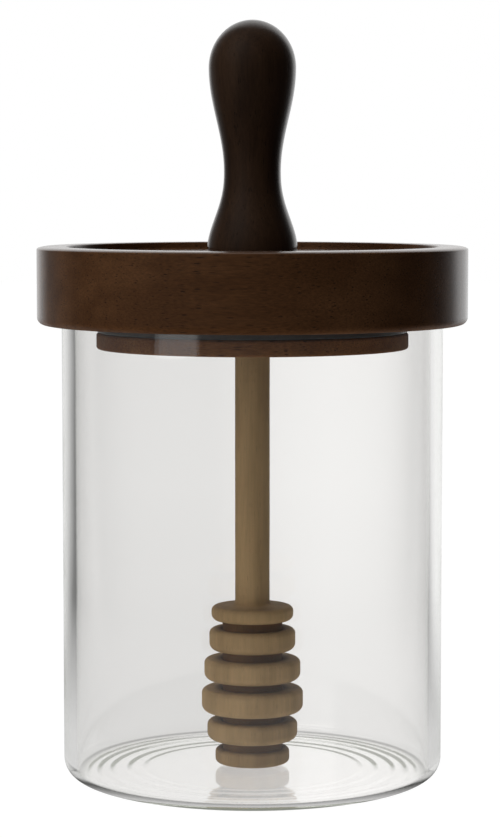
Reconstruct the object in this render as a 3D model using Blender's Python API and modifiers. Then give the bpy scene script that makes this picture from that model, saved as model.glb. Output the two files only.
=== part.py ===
"""Glass honey pot with a turned wooden lid and a hanging dipper.

Metres, +Z up. The origin is the centre of the jar's foot, and every piece is turned about +Z.
Outlines are lists of (radius, height) points that start on the axis at the top of the piece and
run down its outer side.
"""
import math

import bpy

# Clearance left between pieces that touch
GAP = 0.0003

# Jar: a glass cylinder with a thin flat floor, a rounded heel and a flat rim with eased edges
JAR_RADIUS = 0.0443
JAR_HEIGHT = 0.1059
JAR_WALL = 0.0030
JAR_FLOOR = 0.0018
JAR_HEEL_RADIUS = 0.0045
JAR_INNER_HEEL_RADIUS = 0.0020
JAR_RIM_EDGE = 0.0002
JAR_SIDES = 64

# Lid: a thick disc with a shallow dish on top and a plug below that reaches into the jar
LID_RADIUS = 0.0500
LID_THICKNESS = 0.0177
LID_TOP_EDGE_HEIGHT = 0.0007
LID_TOP_EDGE_WIDTH = 0.0022
LID_BOTTOM_EDGE = 0.0017
DISH_RADIUS = 0.0432
DISH_DEPTH = 0.0017
DISH_LIP = 0.0004
DISH_CORNER = 0.0005
NECK_RADIUS = 0.0325
NECK_HEIGHT = 0.0021
PLUG_RADIUS = 0.0363
PLUG_HEIGHT = 0.0037
PLUG_EDGE = 0.0006
LID_SIDES = 64

# Gasket: a flat silicone ring round the lid's neck
GASKET_RADIUS = 0.0361
GASKET_EDGE = 0.0003

# Handle: a pear-shaped knob on the floor of the dish
HANDLE_HEIGHT = 0.0535
HANDLE_BELLY_RADIUS = 0.0101
HANDLE_BELLY_HEIGHT = 0.0425
HANDLE_WAIST_RADIUS = 0.0066
HANDLE_WAIST_HEIGHT = 0.0187
HANDLE_FOOT_RADIUS = 0.0105
HANDLE_FOOT_EDGE = 0.0005
HANDLE_FOOT_FLARE = 1.2
HANDLE_SIDES = 32

# Dipper: a rod from the lid's plug to a beehive of rings, listed from the lowest ring up
ROD_RADIUS = 0.00405
ROD_FILLET = 0.0004
SOCKET_DEPTH = 0.0040
DIPPER_LIFT = 0.0009
RING_SIZES = (
    (0.0087, 0.0035),
    (0.0106, 0.0047),
    (0.0119, 0.0056),
    (0.0113, 0.0051),
    (0.0101, 0.0051),
    (0.0096, 0.0034),
)
GROOVE_HEIGHT = 0.00195
GROOVE_CORE_RADIUS = 0.0070
RING_UPPER_EDGE = 0.0012
RING_LOWER_EDGE = 0.0018
CROWN_RISE = 0.0003
DIPPER_SIDES = 28

# Heights of the lid's faces, worked out from the jar
LID_UNDERSIDE = JAR_HEIGHT + GAP
LID_TOP = LID_UNDERSIDE + LID_THICKNESS
DISH_FLOOR = LID_TOP - DISH_DEPTH
PLUG_TOP = LID_UNDERSIDE - NECK_HEIGHT
PLUG_BOTTOM = PLUG_TOP - PLUG_HEIGHT


def clear_scene():
    for old in list(bpy.data.objects):
        bpy.data.objects.remove(old, do_unlink=True)


def make_collection(name):
    collection = bpy.data.collections.new(name)
    bpy.context.scene.collection.children.link(collection)
    return collection


def make_material(name, colour, roughness, transmission=0.0):
    material = bpy.data.materials.new(name)
    material.use_nodes = True
    shader = material.node_tree.nodes["Principled BSDF"]
    shader.inputs["Base Color"].default_value = (*colour, 1.0)
    shader.inputs["Roughness"].default_value = roughness
    shader.inputs["Metallic"].default_value = 0.0
    shader.inputs["Transmission Weight"].default_value = transmission
    return material


def arc(radius, height, bend, start, end, steps):
    """Points on a circle of radius bend round (radius, height), between two angles in degrees."""
    points = []
    for i in range(steps + 1):
        angle = math.radians(start + (end - start) * i / steps)
        points.append((radius + bend * math.cos(angle), height + bend * math.sin(angle)))
    return points


def turned(name, outline, sides, material, collection, closed=False):
    """A solid of revolution about +Z. A closed outline makes a ring."""
    mesh = bpy.data.meshes.new(name)
    vertices = [(radius, 0.0, height) for radius, height in outline]
    edges = [(i, i + 1) for i in range(len(outline) - 1)]
    if closed:
        edges.append((len(outline) - 1, 0))
    mesh.from_pydata(vertices, edges, [])
    piece = bpy.data.objects.new(name, mesh)
    collection.objects.link(piece)
    piece.data.materials.append(material)

    screw = piece.modifiers.new("turn", "SCREW")
    screw.axis = "Z"
    screw.angle = math.tau
    screw.steps = sides
    screw.render_steps = sides
    screw.use_merge_vertices = True
    screw.merge_threshold = 0.00001
    screw.use_smooth_shade = True
    return piece


def jar_outline():
    inner_radius = JAR_RADIUS - JAR_WALL
    outline = [(0.0, JAR_FLOOR)]
    outline += arc(
        inner_radius - JAR_INNER_HEEL_RADIUS,
        JAR_FLOOR + JAR_INNER_HEEL_RADIUS,
        JAR_INNER_HEEL_RADIUS, -90, 0, 4,
    )
    outline += arc(
        inner_radius + JAR_RIM_EDGE, JAR_HEIGHT - JAR_RIM_EDGE, JAR_RIM_EDGE, 180, 90, 2
    )
    outline += arc(JAR_RADIUS - JAR_RIM_EDGE, JAR_HEIGHT - JAR_RIM_EDGE, JAR_RIM_EDGE, 90, 0, 2)
    outline += arc(
        JAR_RADIUS - JAR_HEEL_RADIUS,
        JAR_HEEL_RADIUS,
        JAR_HEEL_RADIUS, 0, -90, 6,
    )
    outline.append((0.0, 0.0))
    return outline


def lid_outline():
    socket_radius = ROD_RADIUS + GAP
    outline = [
        (0.0, DISH_FLOOR),
        (DISH_RADIUS - DISH_CORNER, DISH_FLOOR),
        (DISH_RADIUS, DISH_FLOOR + DISH_CORNER),
    ]
    outline += arc(DISH_RADIUS + DISH_LIP, LID_TOP - DISH_LIP, DISH_LIP, 180, 90, 2)
    edge_steps = 4
    for i in range(edge_steps + 1):
        angle = math.radians(90 - 90 * i / edge_steps)
        outline.append((
            LID_RADIUS - LID_TOP_EDGE_WIDTH * (1 - math.cos(angle)),
            LID_TOP - LID_TOP_EDGE_HEIGHT * (1 - math.sin(angle)),
        ))
    outline += arc(
        LID_RADIUS - LID_BOTTOM_EDGE,
        LID_UNDERSIDE + LID_BOTTOM_EDGE,
        LID_BOTTOM_EDGE, 0, -90, 4,
    )
    outline += [(NECK_RADIUS, LID_UNDERSIDE), (NECK_RADIUS, PLUG_TOP)]
    outline += arc(PLUG_RADIUS - PLUG_EDGE, PLUG_TOP - PLUG_EDGE, PLUG_EDGE, 90, 0, 2)
    outline += arc(PLUG_RADIUS - PLUG_EDGE, PLUG_BOTTOM + PLUG_EDGE, PLUG_EDGE, 0, -90, 2)
    outline += [
        (socket_radius, PLUG_BOTTOM),
        (socket_radius, PLUG_BOTTOM + SOCKET_DEPTH),
        (0.0, PLUG_BOTTOM + SOCKET_DEPTH),
    ]
    return outline


def gasket_outline():
    inner_radius = NECK_RADIUS + GAP
    top = LID_UNDERSIDE - GAP
    bottom = PLUG_TOP + GAP
    outer = GASKET_RADIUS - GASKET_EDGE
    outline = [(inner_radius, top)]
    outline += arc(outer, top - GASKET_EDGE, GASKET_EDGE, 90, 0, 2)
    outline += arc(outer, bottom + GASKET_EDGE, GASKET_EDGE, 0, -90, 2)
    outline.append((inner_radius, bottom))
    return outline


def ease(share):
    """A cosine step from 0 to 1."""
    return 0.5 - 0.5 * math.cos(math.pi * share)


def handle_outline():
    """An elliptical crown, a cosine neck down to the waist and a flare out to the foot."""
    base = DISH_FLOOR + GAP
    crown_height = HANDLE_HEIGHT - HANDLE_BELLY_HEIGHT
    crown_steps = 7
    neck_steps = 7
    flare_steps = 7
    outline = []
    for i in range(crown_steps):
        angle = math.radians(90 - 90 * i / crown_steps)
        outline.append((
            HANDLE_BELLY_RADIUS * math.cos(angle) if i else 0.0,
            base + HANDLE_BELLY_HEIGHT + crown_height * math.sin(angle),
        ))
    for i in range(neck_steps):
        share = i / neck_steps
        outline.append((
            HANDLE_BELLY_RADIUS + (HANDLE_WAIST_RADIUS - HANDLE_BELLY_RADIUS) * ease(share),
            base + HANDLE_BELLY_HEIGHT + (HANDLE_WAIST_HEIGHT - HANDLE_BELLY_HEIGHT) * share,
        ))
    for i in range(flare_steps + 1):
        share = i / flare_steps
        outline.append((
            HANDLE_WAIST_RADIUS
            + (HANDLE_FOOT_RADIUS - HANDLE_WAIST_RADIUS) * ease(share ** HANDLE_FOOT_FLARE),
            base + HANDLE_WAIST_HEIGHT + (HANDLE_FOOT_EDGE - HANDLE_WAIST_HEIGHT) * share,
        ))
    outline.append((HANDLE_FOOT_RADIUS - HANDLE_FOOT_EDGE, base))
    outline.append((0.0, base))
    return outline


def ring_outline(radius, bottom, height):
    """One ring of the dipper from its upper edge to its lower edge."""
    points = arc(
        radius - RING_UPPER_EDGE,
        bottom + height - RING_UPPER_EDGE,
        RING_UPPER_EDGE, 90, 0, 2,
    )
    points += arc(radius - RING_LOWER_EDGE, bottom + RING_LOWER_EDGE, RING_LOWER_EDGE, 0, -90, 3)
    return points


def dipper_outline():
    bottoms = []
    height = JAR_FLOOR + DIPPER_LIFT
    for radius, thickness in RING_SIZES:
        bottoms.append(height)
        height += thickness + GROOVE_HEIGHT
    crown_rim = height - GROOVE_HEIGHT
    crown_top = crown_rim + CROWN_RISE
    rod_top = PLUG_BOTTOM + SOCKET_DEPTH - GAP

    outline = [
        (0.0, rod_top),
        (ROD_RADIUS, rod_top),
        (ROD_RADIUS, crown_top + ROD_FILLET),
        (ROD_RADIUS + ROD_FILLET, crown_top),
    ]
    top_ring = len(RING_SIZES) - 1
    for i in range(top_ring, -1, -1):
        radius, thickness = RING_SIZES[i]
        if i < top_ring:
            outline.append((GROOVE_CORE_RADIUS, bottoms[i] + thickness + GROOVE_HEIGHT))
            outline.append((GROOVE_CORE_RADIUS, bottoms[i] + thickness))
        outline += ring_outline(radius, bottoms[i], thickness)
    outline.append((0.0, bottoms[0]))
    return outline


clear_scene()
pot = make_collection("honey_pot")

clear_glass = make_material("clear_glass", (0.93, 0.95, 0.94), 0.02, transmission=1.0)
dark_wood = make_material("dark_wood", (0.040, 0.020, 0.010), 0.38)
black_wood = make_material("black_wood", (0.010, 0.007, 0.005), 0.30)
grey_silicone = make_material("grey_silicone", (0.10, 0.11, 0.12), 0.45)
pale_wood = make_material("pale_wood", (0.42, 0.29, 0.17), 0.60)

turned("jar", jar_outline(), JAR_SIDES, clear_glass, pot)
turned("lid", lid_outline(), LID_SIDES, dark_wood, pot)
turned("gasket", gasket_outline(), LID_SIDES, grey_silicone, pot, closed=True)
turned("handle", handle_outline(), HANDLE_SIDES, black_wood, pot)
turned("dipper", dipper_outline(), DIPPER_SIDES, pale_wood, pot)
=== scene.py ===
import math

import bmesh
import bpy
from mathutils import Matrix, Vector


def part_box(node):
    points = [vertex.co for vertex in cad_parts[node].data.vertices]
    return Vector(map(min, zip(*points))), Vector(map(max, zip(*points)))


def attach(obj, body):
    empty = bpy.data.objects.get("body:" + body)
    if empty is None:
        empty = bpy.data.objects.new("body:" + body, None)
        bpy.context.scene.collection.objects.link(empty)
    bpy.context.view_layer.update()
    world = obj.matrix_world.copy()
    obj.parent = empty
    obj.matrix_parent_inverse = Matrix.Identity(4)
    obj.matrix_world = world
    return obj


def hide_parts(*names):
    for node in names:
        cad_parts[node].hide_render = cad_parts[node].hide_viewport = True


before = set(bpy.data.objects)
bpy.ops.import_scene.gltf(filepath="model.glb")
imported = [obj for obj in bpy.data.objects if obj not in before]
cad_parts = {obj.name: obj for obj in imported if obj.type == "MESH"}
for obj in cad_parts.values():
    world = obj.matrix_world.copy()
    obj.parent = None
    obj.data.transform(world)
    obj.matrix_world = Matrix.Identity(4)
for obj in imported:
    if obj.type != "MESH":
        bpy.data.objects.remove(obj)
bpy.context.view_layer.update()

# Jar. A straight-sided pot of clear borosilicate glass, drawn as a tube and closed in a mould that
# leaves a rounded heel and faint steps in the hollow of the foot. It is one closed skin, turned
# about the upright axis from its section.
JAR_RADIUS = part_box("jar")[1].x
JAR_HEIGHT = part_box("jar")[1].z
JAR_WALL = 0.0030
JAR_FLOOR = 0.0018
JAR_HEEL = 0.0045
JAR_INNER_HEEL = 0.0020
JAR_RIM_EDGE = 0.0002
# Each step in the hollow of the foot has an outer radius, an inner radius and a rise
FOOT_STEPS = (
    (0.0394, 0.0378, 0.00012), (0.0370, 0.0352, 0.00016), (0.0340, 0.0322, 0.00016),
    (0.0300, 0.0282, 0.00014), (0.0264, 0.0248, 0.00006),
)
JAR_SIDES = 256
FOOT_STEP_PARTS = 10
GLASS_COLOUR = (0.991, 0.986, 0.977)
GLASS_IOR = 1.475
WAVES_PER_METRE = 42.0
WAVE_DEPTH = 0.00006
# Light that is mirrored more often than this inside the glass gets the glow
CAUGHT_BOUNCES = 2.5
CAUGHT_GLOW = (0.085, 0.090, 0.075, 1.0)
MERGE_DISTANCE = 0.000001
STEADY_RUN = 0.001
STEADY_MARGIN = 0.0001
SHARP_ANGLE = math.radians(50)


def arc(radius, height, bend, start, end, steps):
    """Points on a circle of radius bend round (radius, height), between two angles in degrees."""
    points = []
    for i in range(steps + 1):
        angle = math.radians(start + (end - start) * i / steps)
        points.append((radius + bend * math.cos(angle), height + bend * math.sin(angle)))
    return points


def ease(share):
    """A cosine step from 0 to 1."""
    return 0.5 - 0.5 * math.cos(math.pi * share)


def steady(section):
    """Adds a point close to both ends of each long straight run, so that its shading stays flat."""
    result = [section[0]]
    for (radius, height), (next_radius, next_height) in zip(section, section[1:]):
        length = math.hypot(next_radius - radius, next_height - height)
        if length > STEADY_RUN:
            for share in (STEADY_MARGIN / length, 1 - STEADY_MARGIN / length):
                result.append((
                    radius + (next_radius - radius) * share, height + (next_height - height) * share
                ))
        result.append((next_radius, next_height))
    return result


def turn(name, section, sides, closed=False):
    """A piece turned about +Z from (radius, height) points, as a mesh whose faces point out."""
    section = steady(section)
    line = bpy.data.meshes.new(name + "_section")
    edges = [(i, i + 1) for i in range(len(section) - 1)]
    if closed:
        edges.append((len(section) - 1, 0))
    line.from_pydata([(radius, 0.0, height) for radius, height in section], edges, [])
    lathe = bpy.data.objects.new(name + "_lathe", line)
    bpy.context.scene.collection.objects.link(lathe)
    screw = lathe.modifiers.new("turn", "SCREW")
    screw.steps = sides
    screw.render_steps = sides
    screw.use_merge_vertices = True
    screw.merge_threshold = MERGE_DISTANCE
    return plain_mesh(lathe, name)


def plain_mesh(maker, name):
    """The finished mesh of an object with modifiers, as a new object. The maker is removed."""
    depsgraph = bpy.context.evaluated_depsgraph_get()
    mesh = bpy.data.meshes.new_from_object(maker.evaluated_get(depsgraph))
    bpy.data.objects.remove(maker)
    cleaner = bmesh.new()
    cleaner.from_mesh(mesh)
    bmesh.ops.remove_doubles(cleaner, verts=cleaner.verts, dist=MERGE_DISTANCE)
    bmesh.ops.recalc_face_normals(cleaner, faces=cleaner.faces)
    cleaner.to_mesh(mesh)
    cleaner.free()
    mesh.name = name
    mesh.shade_smooth()
    piece = bpy.data.objects.new(name, mesh)
    bpy.context.scene.collection.objects.link(piece)
    return piece


def new_material(name):
    """A new node material, with its node tree and its Principled shader."""
    material = bpy.data.materials.new(name)
    material.use_nodes = True
    return material, material.node_tree, material.node_tree.nodes["Principled BSDF"]


def jar_section():
    """The wall in section, from the middle of the floor over the rim to the hollow of the foot."""
    inner = JAR_RADIUS - JAR_WALL
    section = [(0.0, JAR_FLOOR)]
    section += arc(inner - JAR_INNER_HEEL, JAR_FLOOR + JAR_INNER_HEEL, JAR_INNER_HEEL, -90, 0, 16)
    section += arc(inner + JAR_RIM_EDGE, JAR_HEIGHT - JAR_RIM_EDGE, JAR_RIM_EDGE, 180, 90, 8)
    section += arc(JAR_RADIUS - JAR_RIM_EDGE, JAR_HEIGHT - JAR_RIM_EDGE, JAR_RIM_EDGE, 90, 0, 8)
    section += arc(JAR_RADIUS - JAR_HEEL, JAR_HEEL, JAR_HEEL, 0, -90, 24)
    height = 0.0
    for start, end, rise in FOOT_STEPS:
        for i in range(FOOT_STEP_PARTS + 1):
            share = i / FOOT_STEP_PARTS
            section.append((start + (end - start) * share, height + rise * ease(share)))
        height += rise
    section.append((0.0, height))
    return section


def clear_glass():
    """Water-clear glass with the faint waviness of a drawn tube."""
    material, tree, shader = new_material("clear_glass")
    shader.inputs["Base Color"].default_value = (*GLASS_COLOUR, 1.0)
    shader.inputs["Roughness"].default_value = 0.0
    shader.inputs["IOR"].default_value = GLASS_IOR
    shader.inputs["Transmission Weight"].default_value = 1.0

    # A slow waviness, two or three centimetres from crest to crest
    place = tree.nodes.new("ShaderNodeTexCoord")
    waves = tree.nodes.new("ShaderNodeTexNoise")
    waves.inputs["Scale"].default_value = WAVES_PER_METRE
    waves.inputs["Detail"].default_value = 1.0
    tree.links.new(place.outputs["Object"], waves.inputs["Vector"])
    bump = tree.nodes.new("ShaderNodeBump")
    bump.inputs["Distance"].default_value = WAVE_DEPTH
    tree.links.new(waves.outputs["Fac"], bump.inputs["Height"])
    tree.links.new(bump.outputs["Normal"], shader.inputs["Normal"])

    # Light caught between the faces of the heel would end as a black line, so it gets a faint glow
    path = tree.nodes.new("ShaderNodeLightPath")
    caught = tree.nodes.new("ShaderNodeMath")
    caught.operation = "GREATER_THAN"
    caught.inputs[1].default_value = CAUGHT_BOUNCES
    tree.links.new(path.outputs["Glossy Depth"], caught.inputs[0])
    glow = tree.nodes.new("ShaderNodeMix")
    glow.data_type = "RGBA"
    glow.inputs["A"].default_value = (0.0, 0.0, 0.0, 1.0)
    glow.inputs["B"].default_value = CAUGHT_GLOW
    tree.links.new(caught.outputs[0], glow.inputs["Factor"])
    tree.links.new(glow.outputs["Result"], shader.inputs["Emission Color"])
    shader.inputs["Emission Strength"].default_value = 1.0
    return material


jar = turn("jar_glass", jar_section(), JAR_SIDES)
jar.data.materials.append(clear_glass())
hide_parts("jar")
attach(jar, "root")

# Lid. A thick disc of close-grained wood, faceplate-turned with a shallow dish on top and a plug
# below, stained dark brown and given a thin satin varnish. Its fibres run across the pot. It lies
# loose on the jar's rim.
LID_LOW, LID_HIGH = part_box("lid")
LID_RADIUS = LID_HIGH.x
LID_TOP = LID_HIGH.z
LID_SEAT = 0.00005
LID_UNDERSIDE = JAR_HEIGHT + LID_SEAT
LID_TOP_EDGE_HEIGHT = 0.0007
LID_TOP_EDGE_WIDTH = 0.0022
LID_BOTTOM_EDGE = 0.0017
DISH_LIP = 0.0004
DISH_CORNER = 0.0005
DISH_RADIUS = 0.0432
DISH_DEPTH = 0.0017
DISH_FLOOR = LID_TOP - DISH_DEPTH
NECK_RADIUS = 0.0325
PLUG_RADIUS = 0.0363
PLUG_HEIGHT = 0.0037
PLUG_BOTTOM = LID_LOW.z
PLUG_TOP = PLUG_BOTTOM + PLUG_HEIGHT
PLUG_EDGE = 0.0006
SOCKET_RADIUS = 0.00435
SOCKET_DEPTH = 0.0040
LID_TOP_EDGE_PARTS = 12
LID_SIDES = 256
# The bottom of the lid's side is left bare up to here, where the varnish fades in; below it the wood is also
# painted paler, as painted light from inside the jar, which fades out over the same band
BARE_AND_PAINTED_LIGHT_BAND = 0.0020


def lid_section():
    """From the middle of the dish over the rim and down to the socket in the plug."""
    section = [(0.0, DISH_FLOOR)]
    section += arc(DISH_RADIUS - DISH_CORNER, DISH_FLOOR + DISH_CORNER, DISH_CORNER, -90, 0, 5)
    section += arc(DISH_RADIUS + DISH_LIP, LID_TOP - DISH_LIP, DISH_LIP, 180, 90, 6)
    for i in range(LID_TOP_EDGE_PARTS + 1):
        angle = math.radians(90 - 90 * i / LID_TOP_EDGE_PARTS)
        section.append((
            LID_RADIUS - LID_TOP_EDGE_WIDTH * (1 - math.cos(angle)),
            LID_TOP - LID_TOP_EDGE_HEIGHT * (1 - math.sin(angle)),
        ))
    section += arc(
        LID_RADIUS - LID_BOTTOM_EDGE, LID_UNDERSIDE + LID_BOTTOM_EDGE, LID_BOTTOM_EDGE, 0, -90, 14
    )
    section += [(NECK_RADIUS, LID_UNDERSIDE), (NECK_RADIUS, PLUG_TOP)]
    section += arc(PLUG_RADIUS - PLUG_EDGE, PLUG_TOP - PLUG_EDGE, PLUG_EDGE, 90, 0, 6)
    section += arc(PLUG_RADIUS - PLUG_EDGE, PLUG_BOTTOM + PLUG_EDGE, PLUG_EDGE, 0, -90, 6)
    section += [
        (SOCKET_RADIUS, PLUG_BOTTOM),
        (SOCKET_RADIUS, PLUG_BOTTOM + SOCKET_DEPTH),
        (0.0, PLUG_BOTTOM + SOCKET_DEPTH),
    ]
    return section


def wood_figure():
    """The figure of fine-pored wood whose fibres run along X.

    Tone is the slow drift of colour from one growth ring to the next, Fibre the fine streaks
    along the grain, Pores the dark open vessels, and Height the relief that they leave.
    """
    group = bpy.data.node_groups.new("wood_figure", "ShaderNodeTree")
    group.interface.new_socket("Vector", in_out="INPUT", socket_type="NodeSocketVector")
    for name in ("Ring Spacing", "Fibre Width", "Fibre Length", "Pore Width", "Pore Length", "Pore Share"):
        group.interface.new_socket(name, in_out="INPUT", socket_type="NodeSocketFloat")
    for name in ("Tone", "Fibre", "Pores", "Height"):
        group.interface.new_socket(name, in_out="OUTPUT", socket_type="NodeSocketFloat")
    nodes = group.nodes
    links = group.links
    given = nodes.new("NodeGroupInput")

    def math_node(operation, *values):
        node = nodes.new("ShaderNodeMath")
        node.operation = operation
        for i, value in enumerate(values):
            if isinstance(value, (int, float)):
                node.inputs[i].default_value = value
            else:
                links.new(value, node.inputs[i])
        return node.outputs[0]

    def stretched(length, width):
        """The place divided by a length along the grain and by a width across it."""
        spacing = nodes.new("ShaderNodeCombineXYZ")
        for axis, value in (("X", length), ("Y", width), ("Z", width)):
            links.new(value, spacing.inputs[axis])
        share = nodes.new("ShaderNodeVectorMath")
        share.operation = "DIVIDE"
        links.new(given.outputs["Vector"], share.inputs[0])
        links.new(spacing.outputs[0], share.inputs[1])
        return share.outputs[0]

    def noise(vector, detail, roughness):
        node = nodes.new("ShaderNodeTexNoise")
        node.inputs["Scale"].default_value = 1.0
        node.inputs["Detail"].default_value = detail
        node.inputs["Roughness"].default_value = roughness
        links.new(vector, node.inputs["Vector"])
        return node.outputs["Fac"]

    def between(value, low, high):
        node = nodes.new("ShaderNodeMapRange")
        node.interpolation_type = "SMOOTHSTEP"
        node.inputs["From Min"].default_value = low
        node.inputs["From Max"].default_value = high
        links.new(value, node.inputs["Value"])
        return node.outputs["Result"]

    # Growth rings are wide arcs seen end on, and their drift is stretched along the fibres
    ring_length = math_node("MULTIPLY", given.outputs["Ring Spacing"], 7.0)
    tone = between(noise(stretched(ring_length, given.outputs["Ring Spacing"]), 3.0, 0.55), 0.3, 0.7)
    fibre = noise(stretched(given.outputs["Fibre Length"], given.outputs["Fibre Width"]), 3.0, 0.6)
    cells = nodes.new("ShaderNodeTexVoronoi")
    cells.inputs["Scale"].default_value = 1.0
    cells.inputs["Randomness"].default_value = 1.0
    links.new(stretched(given.outputs["Pore Length"], given.outputs["Pore Width"]), cells.inputs["Vector"])
    chance = nodes.new("ShaderNodeSeparateXYZ")
    links.new(cells.outputs["Color"], chance.inputs[0])
    present = math_node("LESS_THAN", chance.outputs["X"], given.outputs["Pore Share"])
    mark = math_node("SUBTRACT", 1.0, between(cells.outputs["Distance"], 0.15, 0.42))
    depth = math_node("ADD", math_node("MULTIPLY", chance.outputs["Y"], 0.6), 0.4)
    pores = math_node("MULTIPLY", math_node("MULTIPLY", present, mark), depth)
    height = math_node("SUBTRACT", math_node("MULTIPLY", fibre, 0.35), pores)
    result = nodes.new("NodeGroupOutput")
    for name, value in (("Tone", tone), ("Fibre", fibre), ("Pores", pores), ("Height", height)):
        links.new(value, result.inputs[name])
    return group


def blend(tree, method, factor, first, second):
    """Mixes two colours by a factor that is a socket or a number."""
    node = tree.nodes.new("ShaderNodeMix")
    node.data_type = "RGBA"
    node.blend_type = method
    for socket, value in (("Factor", factor), ("A", first), ("B", second)):
        if isinstance(value, (float, tuple)):
            node.inputs[socket].default_value = value
        else:
            tree.links.new(value, node.inputs[socket])
    return node.outputs["Result"]


def scaled(tree, value, low, high):
    """Spreads a 0 to 1 value over another range."""
    node = tree.nodes.new("ShaderNodeMapRange")
    node.inputs["To Min"].default_value = low
    node.inputs["To Max"].default_value = high
    tree.links.new(value, node.inputs["Value"])
    return node.outputs["Result"]


def wooden(tree, turn_grain, **sizes):
    """The wood figure on a piece, with its fibres turned from X by the given angles in degrees."""
    place = tree.nodes.new("ShaderNodeTexCoord")
    turned_place = tree.nodes.new("ShaderNodeMapping")
    turned_place.inputs["Rotation"].default_value = [math.radians(angle) for angle in turn_grain]
    tree.links.new(place.outputs["Object"], turned_place.inputs["Vector"])
    figure = tree.nodes.new("ShaderNodeGroup")
    figure.node_tree = wood
    tree.links.new(turned_place.outputs["Vector"], figure.inputs["Vector"])
    for name, value in sizes.items():
        figure.inputs[name.replace("_", " ").title()].default_value = value
    return figure.outputs


def eased_between(tree, value, low, high):
    """An eased step from 0 where a value is low to 1 where it is high."""
    node = tree.nodes.new("ShaderNodeMapRange")
    node.interpolation_type = "SMOOTHSTEP"
    node.inputs["From Min"].default_value = low
    node.inputs["From Max"].default_value = high
    tree.links.new(value, node.inputs["Value"])
    return node.outputs["Result"]


def grazing(tree, start, end):
    """From 0 where a surface is faced squarely to 1 at a glancing angle."""
    facing = tree.nodes.new("ShaderNodeLayerWeight")
    facing.inputs["Blend"].default_value = 0.5
    return eased_between(tree, facing.outputs["Facing"], start, end)


def relief(tree, shader, height, depth):
    """Raises a surface by a height map, to the given depth in metres."""
    bump = tree.nodes.new("ShaderNodeBump")
    bump.inputs["Distance"].default_value = depth
    tree.links.new(height, bump.inputs["Height"])
    tree.links.new(bump.outputs["Normal"], shader.inputs["Normal"])


def above(tree, low, high):
    """From 0 below one height on the piece to 1 above another."""
    place = tree.nodes.new("ShaderNodeTexCoord")
    split = tree.nodes.new("ShaderNodeSeparateXYZ")
    tree.links.new(place.outputs["Object"], split.inputs[0])
    return eased_between(tree, split.outputs["Z"], low, high)


def dark_wood():
    """Brown stained wood that is varnished outside and left bare under the lid, where its colour is painted
    paler as painted light from inside the jar.
    """
    material, tree, shader = new_material("dark_wood")
    figure = wooden(
        tree, (0.0, 0.0, 6.0), ring_spacing=0.0075, fibre_width=0.0003, fibre_length=0.0025,
        pore_width=0.0005, pore_length=0.0036, pore_share=0.35,
    )
    colour = blend(tree, "MIX", figure["Tone"], (0.122, 0.050, 0.018, 1.0), (0.190, 0.084, 0.033, 1.0))
    colour = blend(tree, "MULTIPLY", 1.0, colour, scaled(tree, figure["Fibre"], 0.3, 1.7))
    colour = blend(tree, "MIX", scaled(tree, figure["Pores"], 0.0, 0.8), colour, (0.028, 0.012, 0.005, 1.0))
    # Painted light: under the lid the colour is made about twice as bright, standing in for the light the
    # plug gets inside the jar
    paler_painted_light = blend(tree, "MULTIPLY", 1.0, colour, (2.0, 1.95, 1.8, 1.0))
    varnish_above_painted_light = above(tree, LID_UNDERSIDE, LID_UNDERSIDE + BARE_AND_PAINTED_LIGHT_BAND)
    tree.links.new(blend(tree, "MIX", varnish_above_painted_light, paler_painted_light, colour), shader.inputs["Base Color"])
    tree.links.new(scaled(tree, figure["Fibre"], 0.55, 0.75), shader.inputs["Roughness"])
    shader.inputs["Specular IOR Level"].default_value = 0.15
    coat = tree.nodes.new("ShaderNodeMath")
    coat.operation = "MULTIPLY"
    tree.links.new(grazing(tree, 0.35, 0.65), coat.inputs[0])
    tree.links.new(varnish_above_painted_light, coat.inputs[1])
    tree.links.new(coat.outputs[0], shader.inputs["Coat Weight"])
    shader.inputs["Coat Roughness"].default_value = 0.14
    relief(tree, shader, figure["Height"], 0.00006)
    return material


wood = wood_figure()
lid = turn("lid_wood", lid_section(), LID_SIDES)
lid.data.set_sharp_from_angle(angle=SHARP_ANGLE)
lid.data.materials.append(dark_wood())
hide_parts("lid")
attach(lid, "root")

# Gasket. A flat ring of soft grey silicone, moulded in one piece and stretched into the groove
# between the lid's underside and the plug.
GASKET_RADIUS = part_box("gasket")[1].x
GASKET_EDGE = 0.0003
GASKET_GAP = 0.0001


def gasket_section():
    """A flat band with eased outer edges, closed round to its inner face."""
    inner = NECK_RADIUS + GASKET_GAP
    top = LID_UNDERSIDE - GASKET_GAP
    bottom = PLUG_TOP + GASKET_GAP
    section = [(inner, top)]
    section += arc(GASKET_RADIUS - GASKET_EDGE, top - GASKET_EDGE, GASKET_EDGE, 90, 0, 5)
    section += arc(GASKET_RADIUS - GASKET_EDGE, bottom + GASKET_EDGE, GASKET_EDGE, 0, -90, 5)
    section.append((inner, bottom))
    return section


def grey_silicone():
    """Moulded silicone with faint clouds in its colour and a fine skin of dust and mould marks."""
    material, tree, shader = new_material("grey_silicone")
    place = tree.nodes.new("ShaderNodeTexCoord")
    clouds = tree.nodes.new("ShaderNodeTexNoise")
    clouds.inputs["Scale"].default_value = 220.0
    clouds.inputs["Detail"].default_value = 2.0
    skin = tree.nodes.new("ShaderNodeTexNoise")
    skin.inputs["Scale"].default_value = 3500.0
    skin.inputs["Detail"].default_value = 2.0
    for texture in (clouds, skin):
        tree.links.new(place.outputs["Object"], texture.inputs["Vector"])
    colour = blend(tree, "MIX", clouds.outputs["Fac"], (0.066, 0.060, 0.056, 1.0), (0.102, 0.094, 0.088, 1.0))
    tree.links.new(colour, shader.inputs["Base Color"])
    tree.links.new(scaled(tree, skin.outputs["Fac"], 0.28, 0.46), shader.inputs["Roughness"])
    relief(tree, shader, skin.outputs["Fac"], 0.00002)
    return material


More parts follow.
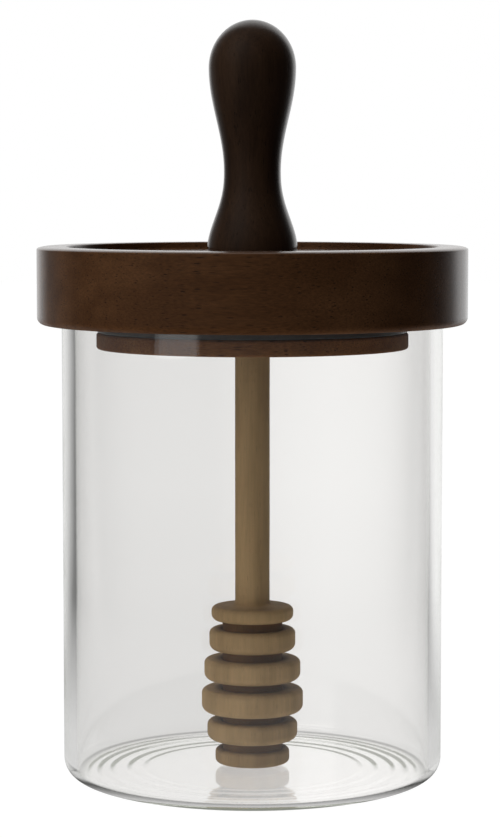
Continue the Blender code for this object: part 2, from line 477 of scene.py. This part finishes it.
gasket = turn("gasket_ring", gasket_section(), LID_SIDES, closed=True)
gasket.data.set_sharp_from_angle(angle=SHARP_ANGLE)
gasket.data.materials.append(grey_silicone())
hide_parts("gasket")
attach(gasket, "root")

# Handle. A pear-shaped knob, spindle-turned from dark wood, stained nearly black and waxed. It
# stands in the middle of the dish.
HANDLE_LOW, HANDLE_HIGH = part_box("handle")
HANDLE_FOOT_RADIUS = HANDLE_HIGH.x
HANDLE_BELLY_RADIUS = 0.0101
HANDLE_BELLY_HEIGHT = 0.0425
HANDLE_WAIST_RADIUS = 0.0066
HANDLE_WAIST_HEIGHT = 0.0187
HANDLE_FOOT_EDGE = 0.0005
HANDLE_FOOT_FLARE = 1.2
HANDLE_PARTS = 24
HANDLE_SIDES = 128


def handle_section():
    """A domed crown, an eased run in to the waist, and a run out to the foot that starts late."""
    base = HANDLE_LOW.z
    crown_height = HANDLE_HIGH.z - base - HANDLE_BELLY_HEIGHT
    section = [(0.0, HANDLE_HIGH.z)]
    for i in range(1, HANDLE_PARTS):
        angle = math.radians(90 - 90 * i / HANDLE_PARTS)
        section.append((
            HANDLE_BELLY_RADIUS * math.cos(angle),
            base + HANDLE_BELLY_HEIGHT + crown_height * math.sin(angle),
        ))
    for i in range(HANDLE_PARTS):
        share = i / HANDLE_PARTS
        section.append((
            HANDLE_BELLY_RADIUS + (HANDLE_WAIST_RADIUS - HANDLE_BELLY_RADIUS) * ease(share),
            base + HANDLE_BELLY_HEIGHT + (HANDLE_WAIST_HEIGHT - HANDLE_BELLY_HEIGHT) * share,
        ))
    for i in range(HANDLE_PARTS):
        share = i / HANDLE_PARTS
        section.append((
            HANDLE_WAIST_RADIUS
            + (HANDLE_FOOT_RADIUS - HANDLE_WAIST_RADIUS) * ease(share ** HANDLE_FOOT_FLARE),
            base + HANDLE_WAIST_HEIGHT + (HANDLE_FOOT_EDGE - HANDLE_WAIST_HEIGHT) * share,
        ))
    section += arc(
        HANDLE_FOOT_RADIUS - HANDLE_FOOT_EDGE, base + HANDLE_FOOT_EDGE, HANDLE_FOOT_EDGE, 0, -90, 4
    )
    section.append((0.0, base))
    return section


def black_wood():
    """Wood stained nearly black, with its grain upright and a thin wax that shines at the edges."""
    material, tree, shader = new_material("black_wood")
    figure = wooden(
        tree, (0.0, 90.0, 0.0), ring_spacing=0.005, fibre_width=0.0004, fibre_length=0.008,
        pore_width=0.0004, pore_length=0.0035, pore_share=0.2,
    )
    colour = blend(tree, "MIX", figure["Tone"], (0.034, 0.017, 0.009, 1.0), (0.062, 0.032, 0.017, 1.0))
    colour = blend(tree, "MULTIPLY", 1.0, colour, scaled(tree, figure["Fibre"], 0.6, 1.4))
    colour = blend(tree, "MIX", scaled(tree, figure["Pores"], 0.0, 0.7), colour, (0.005, 0.004, 0.003, 1.0))
    tree.links.new(colour, shader.inputs["Base Color"])
    tree.links.new(scaled(tree, figure["Fibre"], 0.5, 0.62), shader.inputs["Roughness"])
    shader.inputs["Specular IOR Level"].default_value = 0.12
    tree.links.new(grazing(tree, 0.35, 0.65), shader.inputs["Coat Weight"])
    shader.inputs["Coat Roughness"].default_value = 0.16
    relief(tree, shader, figure["Height"], 0.00005)
    return material


handle = turn("handle_wood", handle_section(), HANDLE_SIDES)
handle.data.set_sharp_from_angle(angle=SHARP_ANGLE)
handle.data.materials.append(black_wood())
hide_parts("handle")
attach(handle, "root")

# Dipper. A beehive of rings and its rod, turned from one stick of pale beech and left bare. The
# rod is glued into the plug, so the beehive hangs just clear of the glass floor.
DIPPER_LOW, DIPPER_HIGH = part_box("dipper")
ROD_RADIUS = 0.00405
ROD_FILLET = 0.0004
RING_SIZES = (
    (0.0087, 0.0035),
    (0.0106, 0.0047),
    (0.0119, 0.0056),
    (0.0113, 0.0051),
    (0.0101, 0.0051),
    (0.0096, 0.0034),
)
GROOVE_HEIGHT = 0.00195
GROOVE_CORE_RADIUS = 0.0070
RING_ROOT = 0.0003
RING_UPPER_EDGE = 0.0012
RING_LOWER_EDGE = 0.0018
CROWN_RISE = 0.0003
CROWN_RADIUS = 0.0085
CROWN_SINK = 0.0001
CROWN_ROOT = 0.0010
CORE_LIFT = 0.0005
GROOVE_SHADE_WIDTH = 0.0026
# The painted shade of the grooves ends between these two heights, from the top ring's rim
GROOVE_SHADE_END = (-0.0006, 0.0004)
DIPPER_SIDES = 160
DIPPER_SHARP_ANGLE = math.radians(40)


def ring_posts():
    """One point for each ring, with its radius and height, and the height of the top ring's rim."""
    posts = bpy.data.meshes.new("ring_posts")
    heights = []
    bottom = DIPPER_LOW.z
    for radius, height in RING_SIZES:
        heights.append(bottom + height / 2)
        bottom += height + GROOVE_HEIGHT
    posts.from_pydata([(0.0, 0.0, height) for height in heights], [], [])
    ring_radius = posts.attributes.new("ring_radius", "FLOAT", "POINT")
    ring_height = posts.attributes.new("ring_height", "FLOAT", "POINT")
    for i, (radius, height) in enumerate(RING_SIZES):
        ring_radius.data[i].value = radius
        ring_height.data[i].value = height
    return posts, bottom - GROOVE_HEIGHT


def beehive_tree():
    """Geometry Nodes that thread a rounded ring on the core at each post."""
    tree = bpy.data.node_groups.new("beehive_rings", "GeometryNodeTree")
    tree.interface.new_socket("Geometry", in_out="INPUT", socket_type="NodeSocketGeometry")
    for name in ("Root Radius", "Upper Edge", "Lower Edge"):
        tree.interface.new_socket(name, in_out="INPUT", socket_type="NodeSocketFloat")
    tree.interface.new_socket("Sides", in_out="INPUT", socket_type="NodeSocketInt")
    tree.interface.new_socket("Material", in_out="INPUT", socket_type="NodeSocketMaterial")
    tree.interface.new_socket("Geometry", in_out="OUTPUT", socket_type="NodeSocketGeometry")
    nodes = tree.nodes
    links = tree.links
    given = nodes.new("NodeGroupInput")

    # Each post is laid out flat at (root radius, -height), because the sweep turns it upright
    position = nodes.new("GeometryNodeInputPosition")
    split = nodes.new("ShaderNodeSeparateXYZ")
    links.new(position.outputs[0], split.inputs[0])
    down = nodes.new("ShaderNodeMath")
    down.operation = "MULTIPLY"
    down.inputs[1].default_value = -1.0
    links.new(split.outputs["Z"], down.inputs[0])
    flat = nodes.new("ShaderNodeCombineXYZ")
    links.new(down.outputs[0], flat.inputs["Y"])
    lay = nodes.new("GeometryNodeSetPosition")
    links.new(given.outputs["Geometry"], lay.inputs["Geometry"])
    links.new(flat.outputs[0], lay.inputs["Position"])

    # The section is a rectangle from the root to the ring's face
    section = nodes.new("GeometryNodeCurvePrimitiveQuadrilateral")
    section.inputs["Width"].default_value = 1.0
    section.inputs["Height"].default_value = 1.0
    shift = nodes.new("GeometryNodeTransform")
    shift.inputs["Translation"].default_value = (0.5, 0.0, 0.0)
    links.new(section.outputs[0], shift.inputs["Geometry"])
    corner_split = nodes.new("ShaderNodeSeparateXYZ")
    links.new(position.outputs[0], corner_split.inputs[0])
    is_lower = nodes.new("ShaderNodeMath")
    is_lower.operation = "GREATER_THAN"
    is_lower.inputs[1].default_value = 0.0
    links.new(corner_split.outputs["Y"], is_lower.inputs[0])
    edge = nodes.new("ShaderNodeMix")
    links.new(is_lower.outputs[0], edge.inputs["Factor"])
    links.new(given.outputs["Upper Edge"], edge.inputs["A"])
    links.new(given.outputs["Lower Edge"], edge.inputs["B"])
    keep = nodes.new("GeometryNodeStoreNamedAttribute")
    keep.inputs["Name"].default_value = "edge_radius"
    links.new(shift.outputs[0], keep.inputs["Geometry"])
    links.new(edge.outputs["Result"], keep.inputs["Value"])

    # A copy of the section for each post, as wide and as high as that ring
    radius = nodes.new("GeometryNodeInputNamedAttribute")
    radius.inputs["Name"].default_value = "ring_radius"
    height = nodes.new("GeometryNodeInputNamedAttribute")
    height.inputs["Name"].default_value = "ring_height"
    width = nodes.new("ShaderNodeMath")
    width.operation = "SUBTRACT"
    links.new(radius.outputs["Attribute"], width.inputs[0])
    links.new(given.outputs["Root Radius"], width.inputs[1])
    size = nodes.new("ShaderNodeCombineXYZ")
    size.inputs["Z"].default_value = 1.0
    links.new(width.outputs[0], size.inputs["X"])
    links.new(height.outputs["Attribute"], size.inputs["Y"])
    copies = nodes.new("GeometryNodeInstanceOnPoints")
    links.new(lay.outputs[0], copies.inputs["Points"])
    links.new(keep.outputs[0], copies.inputs["Instance"])
    links.new(size.outputs[0], copies.inputs["Scale"])
    real = nodes.new("GeometryNodeRealizeInstances")
    links.new(copies.outputs[0], real.inputs[0])

    # The corners are rounded at their true size, and the section is swept round the core
    edge_radius = nodes.new("GeometryNodeInputNamedAttribute")
    edge_radius.inputs["Name"].default_value = "edge_radius"
    fillet = nodes.new("GeometryNodeFilletCurve")
    fillet.mode = "POLY"
    fillet.inputs["Count"].default_value = 8
    fillet.inputs["Limit Radius"].default_value = True
    links.new(real.outputs[0], fillet.inputs["Curve"])
    links.new(edge_radius.outputs["Attribute"], fillet.inputs["Radius"])
    circle = nodes.new("GeometryNodeCurvePrimitiveCircle")
    links.new(given.outputs["Sides"], circle.inputs["Resolution"])
    links.new(given.outputs["Root Radius"], circle.inputs["Radius"])
    sweep = nodes.new("GeometryNodeCurveToMesh")
    links.new(circle.outputs["Curve"], sweep.inputs["Curve"])
    links.new(fillet.outputs[0], sweep.inputs["Profile Curve"])
    paint = nodes.new("GeometryNodeSetMaterial")
    links.new(sweep.outputs[0], paint.inputs["Geometry"])
    links.new(given.outputs["Material"], paint.inputs["Material"])
    result = nodes.new("NodeGroupOutput")
    links.new(paint.outputs[0], result.inputs["Geometry"])
    return tree


def set_input(modifier, name, value):
    """Sets a Geometry Nodes input by its name in the tree's interface."""
    for item in modifier.node_group.interface.items_tree:
        if item.item_type == "SOCKET" and item.in_out == "INPUT" and item.name == name:
            modifier[item.identifier] = value


def beside_core(tree):
    """From 0 at the core, down in the grooves, to 1 on the outer rings and on the rod above: where the
    grooves' painted shade lies.
    """
    place = tree.nodes.new("ShaderNodeTexCoord")
    flat = tree.nodes.new("ShaderNodeVectorMath")
    flat.operation = "MULTIPLY"
    flat.inputs[1].default_value = (1.0, 1.0, 0.0)
    tree.links.new(place.outputs["Object"], flat.inputs[0])
    reach = tree.nodes.new("ShaderNodeVectorMath")
    reach.operation = "LENGTH"
    tree.links.new(flat.outputs[0], reach.inputs[0])
    out = eased_between(
        tree, reach.outputs["Value"], GROOVE_CORE_RADIUS, GROOVE_CORE_RADIUS + GROOVE_SHADE_WIDTH
    )
    either = tree.nodes.new("ShaderNodeMath")
    either.operation = "MAXIMUM"
    tree.links.new(out, either.inputs[0])
    low, high = (crown_rim + offset for offset in GROOVE_SHADE_END)
    tree.links.new(above(tree, low, high), either.inputs[1])
    return either.outputs[0]


def pale_wood():
    """Bare beech, with painted shade down in the grooves, where the wood is darkened for the shade that falls
    between the rings.
    """
    material, tree, shader = new_material("pale_wood")
    figure = wooden(
        tree, (0.0, 90.0, 0.0), ring_spacing=0.0045, fibre_width=0.0004, fibre_length=0.010,
        pore_width=0.00035, pore_length=0.0022, pore_share=0.3,
    )
    colour = blend(tree, "MIX", figure["Tone"], (0.56, 0.362, 0.165, 1.0), (0.73, 0.488, 0.230, 1.0))
    colour = blend(tree, "MULTIPLY", 1.0, colour, scaled(tree, figure["Fibre"], 0.86, 1.14))
    colour = blend(tree, "MIX", scaled(tree, figure["Pores"], 0.0, 0.35), colour, (0.33, 0.18, 0.08, 1.0))
    # Painted shade: the wood is darkened in the grooves and on the rings' faces beside them, where shade
    # falls between the rings
    painted_groove_shade = blend(tree, "MULTIPLY", 1.0, colour, (0.40, 0.29, 0.20, 1.0))
    colour = blend(tree, "MIX", beside_core(tree), painted_groove_shade, colour)
    tree.links.new(colour, shader.inputs["Base Color"])
    tree.links.new(scaled(tree, figure["Fibre"], 0.55, 0.75), shader.inputs["Roughness"])
    shader.inputs["Specular IOR Level"].default_value = 0.3
    relief(tree, shader, figure["Height"], 0.00004)
    return material


posts, crown_rim = ring_posts()
beech = pale_wood()
hive = bpy.data.objects.new("beehive", posts)
bpy.context.scene.collection.objects.link(hive)
rings = hive.modifiers.new("rings", "NODES")
rings.node_group = beehive_tree()
set_input(rings, "Root Radius", GROOVE_CORE_RADIUS - RING_ROOT)
set_input(rings, "Upper Edge", RING_UPPER_EDGE)
set_input(rings, "Lower Edge", RING_LOWER_EDGE)
set_input(rings, "Sides", DIPPER_SIDES)
set_input(rings, "Material", beech)
hive = plain_mesh(hive, "dipper_rings")

spindle = turn("dipper_spindle", [
    (0.0, DIPPER_HIGH.z),
    (ROD_RADIUS, DIPPER_HIGH.z),
    (ROD_RADIUS, crown_rim + CROWN_RISE + ROD_FILLET),
    (ROD_RADIUS + ROD_FILLET, crown_rim + CROWN_RISE),
    (CROWN_RADIUS, crown_rim - CROWN_SINK),
    (GROOVE_CORE_RADIUS, crown_rim - CROWN_ROOT),
    (GROOVE_CORE_RADIUS, DIPPER_LOW.z + CORE_LIFT),
    (0.0, DIPPER_LOW.z + CORE_LIFT),
], DIPPER_SIDES)
spindle.data.materials.append(beech)
for piece in (hive, spindle):
    piece.data.set_sharp_from_angle(angle=DIPPER_SHARP_ANGLE)
    flat_faces = piece.modifiers.new("flat_faces", "WEIGHTED_NORMAL")
    flat_faces.weight = 100
    flat_faces.keep_sharp = True
    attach(piece, "root")
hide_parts("dipper")

# Studio. The pot stands on a white table that runs out into a white backdrop. The light comes
# mostly from behind it, with a tall soft box at the front left and a wide one above that.
TABLE_RADIUS = 3.0
TABLE_SIDES = 96
TABLE_DROP = 0.0001
# How far behind a place on the table the surround is read from, for views through the glass
GLOW_LEAD = 0.35
# Brightness of the table by distance in metres: through the glass, and under and near the heel. Both paint a
# contact shadow, dark rings round the heel where it meets the table, and TABLE_THROUGH paints the table
# brighter under the glass floor, as painted light.
TABLE_THROUGH = (
    (0, 1.05), (0.0412, 1.05), (0.0424, 0.35), (0.0440, 0.35), (0.0460, 0.84), (0.1, 0.86),
    (0.35, 0.97), (0.6, 1.0), (1, 1.0),
)
TABLE_NEAR = (
    (0, 0.58), (0.0399, 0.58), (0.0403, 0.08), (0.0407, 0.08), (0.0411, 0.58), (0.0416, 0.0),
    (0.0438, 0.0), (0.0444, 0.62), (1, 0.62),
)
NEAR_TO_FAR = ((0, 0.0), (0.08, 0.0), (0.30, 1.0), (1, 1.0))
# Brightness of the surround by angle in degrees, from straight behind the pot to the right
SEEN_THROUGH = (
    (-180, 0.90), (-90, 0.85), (-40, 0.58), (-32, 0.58), (-22, 0.78), (-12, 0.84), (-7, 0.85),
    (-1, 0.86), (2, 1.0), (6, 1.0), (12, 0.92), (22, 0.84), (35, 0.78), (90, 0.85), (180, 0.90),
)
SEEN_AROUND = (
    (-180, 0.12), (-130, 0.15), (-112, 0.20), (-80, 0.18), (-64, 0.12), (-42, 0.14), (-34, 0.42),
    (-22, 0.80), (0, 0.85), (20, 0.92), (39, 0.85), (50, 0.25), (62, 0.08), (110, 0.04), (180, 0.10),
)
FILL = 0.25


def brightness_ramp(tree, position, stops, place_of):
    """A ramp through (value, brightness) stops, laid from 0 to 1 by place_of(value)."""
    ramp = tree.nodes.new("ShaderNodeValToRGB")
    tree.links.new(position, ramp.inputs["Fac"])
    marks = ramp.color_ramp.elements
    marks[0].color = (stops[0][1],) * 3 + (1.0,)
    marks[1].color = (stops[-1][1],) * 3 + (1.0,)
    for value, brightness in stops[1:-1]:
        mark = marks.new(place_of(value))
        mark.color = (brightness,) * 3 + (1.0,)
    return ramp.outputs["Color"]


def studio_glow():
    """How bright the white surround is each way from the pot, for views through it and around it."""
    group = bpy.data.node_groups.new("studio_glow", "ShaderNodeTree")
    group.interface.new_socket("Direction", in_out="INPUT", socket_type="NodeSocketVector")
    group.interface.new_socket("Through", in_out="OUTPUT", socket_type="NodeSocketColor")
    group.interface.new_socket("Around", in_out="OUTPUT", socket_type="NodeSocketColor")
    nodes = group.nodes
    links = group.links
    given = nodes.new("NodeGroupInput")
    split = nodes.new("ShaderNodeSeparateXYZ")
    links.new(given.outputs["Direction"], split.inputs[0])
    angle = nodes.new("ShaderNodeMath")
    angle.operation = "ARCTAN2"
    links.new(split.outputs["X"], angle.inputs[0])
    links.new(split.outputs["Y"], angle.inputs[1])
    turn_share = nodes.new("ShaderNodeMapRange")
    turn_share.inputs["From Min"].default_value = -math.pi
    turn_share.inputs["From Max"].default_value = math.pi
    links.new(angle.outputs[0], turn_share.inputs["Value"])
    result = nodes.new("NodeGroupOutput")
    share = turn_share.outputs["Result"]
    for name, stops in (("Through", SEEN_THROUGH), ("Around", SEEN_AROUND)):
        links.new(brightness_ramp(group, share, stops, lambda turn: turn / 360 + 0.5), result.inputs[name])
    return group


def by_distance(tree, place, stops):
    """A brightness that changes with the distance in metres from the pot's axis."""
    reach = tree.nodes.new("ShaderNodeVectorMath")
    reach.operation = "LENGTH"
    tree.links.new(place, reach.inputs[0])
    return brightness_ramp(tree, reach.outputs["Value"], stops, lambda metres: metres)


def by_ray(tree, to_camera, through, around):
    """White to the camera, one brightness straight through the glass and another round it.

    What lies outside the glass is lit by only the FILL share of that.
    """
    path = tree.nodes.new("ShaderNodeLightPath")
    turns = tree.nodes.new("ShaderNodeMath")
    turns.operation = "ADD"
    tree.links.new(path.outputs["Glossy Depth"], turns.inputs[0])
    tree.links.new(path.outputs["Diffuse Depth"], turns.inputs[1])
    straight = tree.nodes.new("ShaderNodeMath")
    straight.operation = "LESS_THAN"
    straight.inputs[1].default_value = 0.5
    tree.links.new(turns.outputs[0], straight.inputs[0])
    passed = tree.nodes.new("ShaderNodeMath")
    passed.operation = "MULTIPLY"
    tree.links.new(straight.outputs[0], passed.inputs[0])
    tree.links.new(path.outputs["Is Transmission Ray"], passed.inputs[1])
    unseen = blend(tree, "MIX", passed.outputs[0], around, through)
    outside = tree.nodes.new("ShaderNodeMath")
    outside.operation = "SUBTRACT"
    outside.use_clamp = True
    tree.links.new(path.outputs["Diffuse Depth"], outside.inputs[0])
    tree.links.new(path.outputs["Is Transmission Ray"], outside.inputs[1])
    cast = blend(tree, "MULTIPLY", outside.outputs[0], unseen, (FILL, FILL, FILL, 1.0))
    return blend(tree, "MIX", path.outputs["Is Camera Ray"], cast, to_camera)


surround = studio_glow()
world = bpy.data.worlds.new("studio")
bpy.context.scene.world = world
world.use_nodes = True
tree = world.node_tree
background = tree.nodes["Background"]
place = tree.nodes.new("ShaderNodeTexCoord")
glow = tree.nodes.new("ShaderNodeGroup")
glow.node_tree = surround
tree.links.new(place.outputs["Generated"], glow.inputs["Direction"])
seen = by_ray(tree, (1.0, 1.0, 1.0, 1.0), glow.outputs["Through"], glow.outputs["Around"])
tree.links.new(seen, background.inputs["Color"])

table_mesh = bpy.data.meshes.new("table")
maker = bmesh.new()
bmesh.ops.create_circle(maker, cap_ends=True, segments=TABLE_SIDES, radius=TABLE_RADIUS)
bmesh.ops.translate(maker, verts=maker.verts, vec=(0.0, 0.0, -TABLE_DROP))
maker.to_mesh(table_mesh)
maker.free()
table = bpy.data.objects.new("table", table_mesh)
bpy.context.scene.collection.objects.link(table)
white, tree, shader = new_material("table_white")
shader.inputs["Base Color"].default_value = (0.12, 0.12, 0.12, 1.0)
shader.inputs["Roughness"].default_value = 0.9
shader.inputs["Specular IOR Level"].default_value = 0.0
shader.inputs["Emission Strength"].default_value = 1.0
place = tree.nodes.new("ShaderNodeTexCoord").outputs["Object"]
glow = tree.nodes.new("ShaderNodeGroup")
glow.node_tree = surround
tree.links.new(place, glow.inputs["Direction"])
ahead = tree.nodes.new("ShaderNodeVectorMath")
ahead.operation = "ADD"
ahead.inputs[1].default_value = (0.0, GLOW_LEAD, 0.0)
tree.links.new(place, ahead.inputs[0])
glow_behind = tree.nodes.new("ShaderNodeGroup")
glow_behind.node_tree = surround
tree.links.new(ahead.outputs[0], glow_behind.inputs["Direction"])
# The table's emission carries the painted contact shadow round the heel and the painted light under the glass
# floor
near_and_far = by_distance(tree, place, TABLE_THROUGH)
through = blend(tree, "MULTIPLY", 1.0, glow_behind.outputs["Through"], near_and_far)
near = by_distance(tree, place, TABLE_NEAR)
around = blend(tree, "MIX", by_distance(tree, place, NEAR_TO_FAR), near, glow.outputs["Around"])
seen = by_ray(tree, (1.0, 1.0, 1.0, 1.0), through, around)
tree.links.new(seen, shader.inputs["Emission Color"])
table.data.materials.append(white)


def soft_box(name, width, height, brightness, place, aim_height):
    """A rectangular soft light of a given brightness, aimed at a height on the pot's axis."""
    lamp = bpy.data.lights.new(name, "AREA")
    lamp.shape = "RECTANGLE"
    lamp.size = width
    lamp.size_y = height
    lamp.energy = math.pi * width * height * brightness
    box = bpy.data.objects.new(name, lamp)
    box.location = place
    aim = Vector((0.0, 0.0, aim_height)) - box.location
    box.rotation_euler = aim.to_track_quat("-Z", "Y").to_euler()
    bpy.context.scene.collection.objects.link(box)


soft_box(
    "side_box", width=0.56, height=1.9, brightness=1.0, place=(-0.86, -0.84, 0.975), aim_height=0.975
)
soft_box(
    "top_box", width=1.0, height=1.0, brightness=1.5, place=(-0.75, -0.65, 1.25),
    aim_height=JAR_HEIGHT / 2,
)

bpy.context.scene.view_settings.view_transform = "Standard"

# Camera. A long lens straight in front of the pot, a little above the lid's top and tipped down, with
# the pot 2.4 pixels right of the middle of the frame.
CAMERA_DISTANCE = 0.63315
CAMERA_HEIGHT = 0.13954
CAMERA_PITCH = math.radians(5.05)
PHOTO_HEIGHT = 838
FOCAL_PIXELS = 2722.2
SHIFT_PIXELS = -2.4
SENSOR = 36.0
camera_data = bpy.data.cameras.new("camera")
camera_data.sensor_width = SENSOR
camera_data.lens = FOCAL_PIXELS * SENSOR / PHOTO_HEIGHT
camera_data.shift_x = SHIFT_PIXELS / PHOTO_HEIGHT
camera = bpy.data.objects.new("camera", camera_data)
camera.location = (0.0, -CAMERA_DISTANCE, CAMERA_HEIGHT)
camera.rotation_euler = (math.radians(90) - CAMERA_PITCH, 0.0, 0.0)
bpy.context.scene.collection.objects.link(camera)
bpy.context.scene.camera = camera
